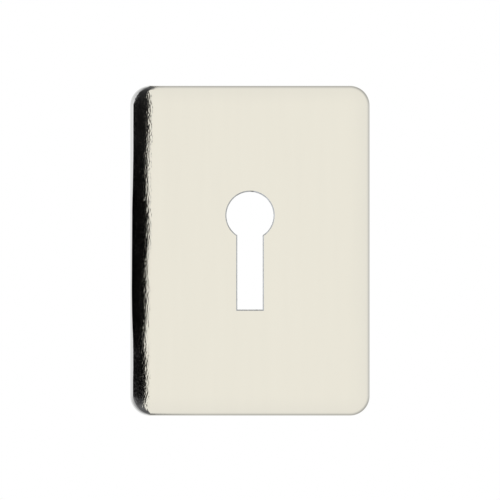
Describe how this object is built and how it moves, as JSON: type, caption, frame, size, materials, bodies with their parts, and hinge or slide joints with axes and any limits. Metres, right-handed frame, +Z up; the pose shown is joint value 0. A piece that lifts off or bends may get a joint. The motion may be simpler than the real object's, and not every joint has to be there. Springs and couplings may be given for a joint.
{
  "type": "keyhole escutcheon",
  "caption": "Upright rectangular plate of bright polished metal with rounded corners, a softly crowned front edge and a keyhole through its middle, to face a cabinet or drawer lock.",
  "frame": {"origin": "on the key's axis, the centre of the keyhole's round part, in the plane of the back face", "axes": "+Z up as fitted on a drawer or door front, -Y out of the front, +X to the right seen from the front"},
  "size_m": [0.0254, 0.002, 0.035],
  "materials": {
    "polished_nickel": "polished"
  },
  "bodies": {
    "root": {"escutcheon_plate": "polished_nickel"}
  },
  "joints": []
}
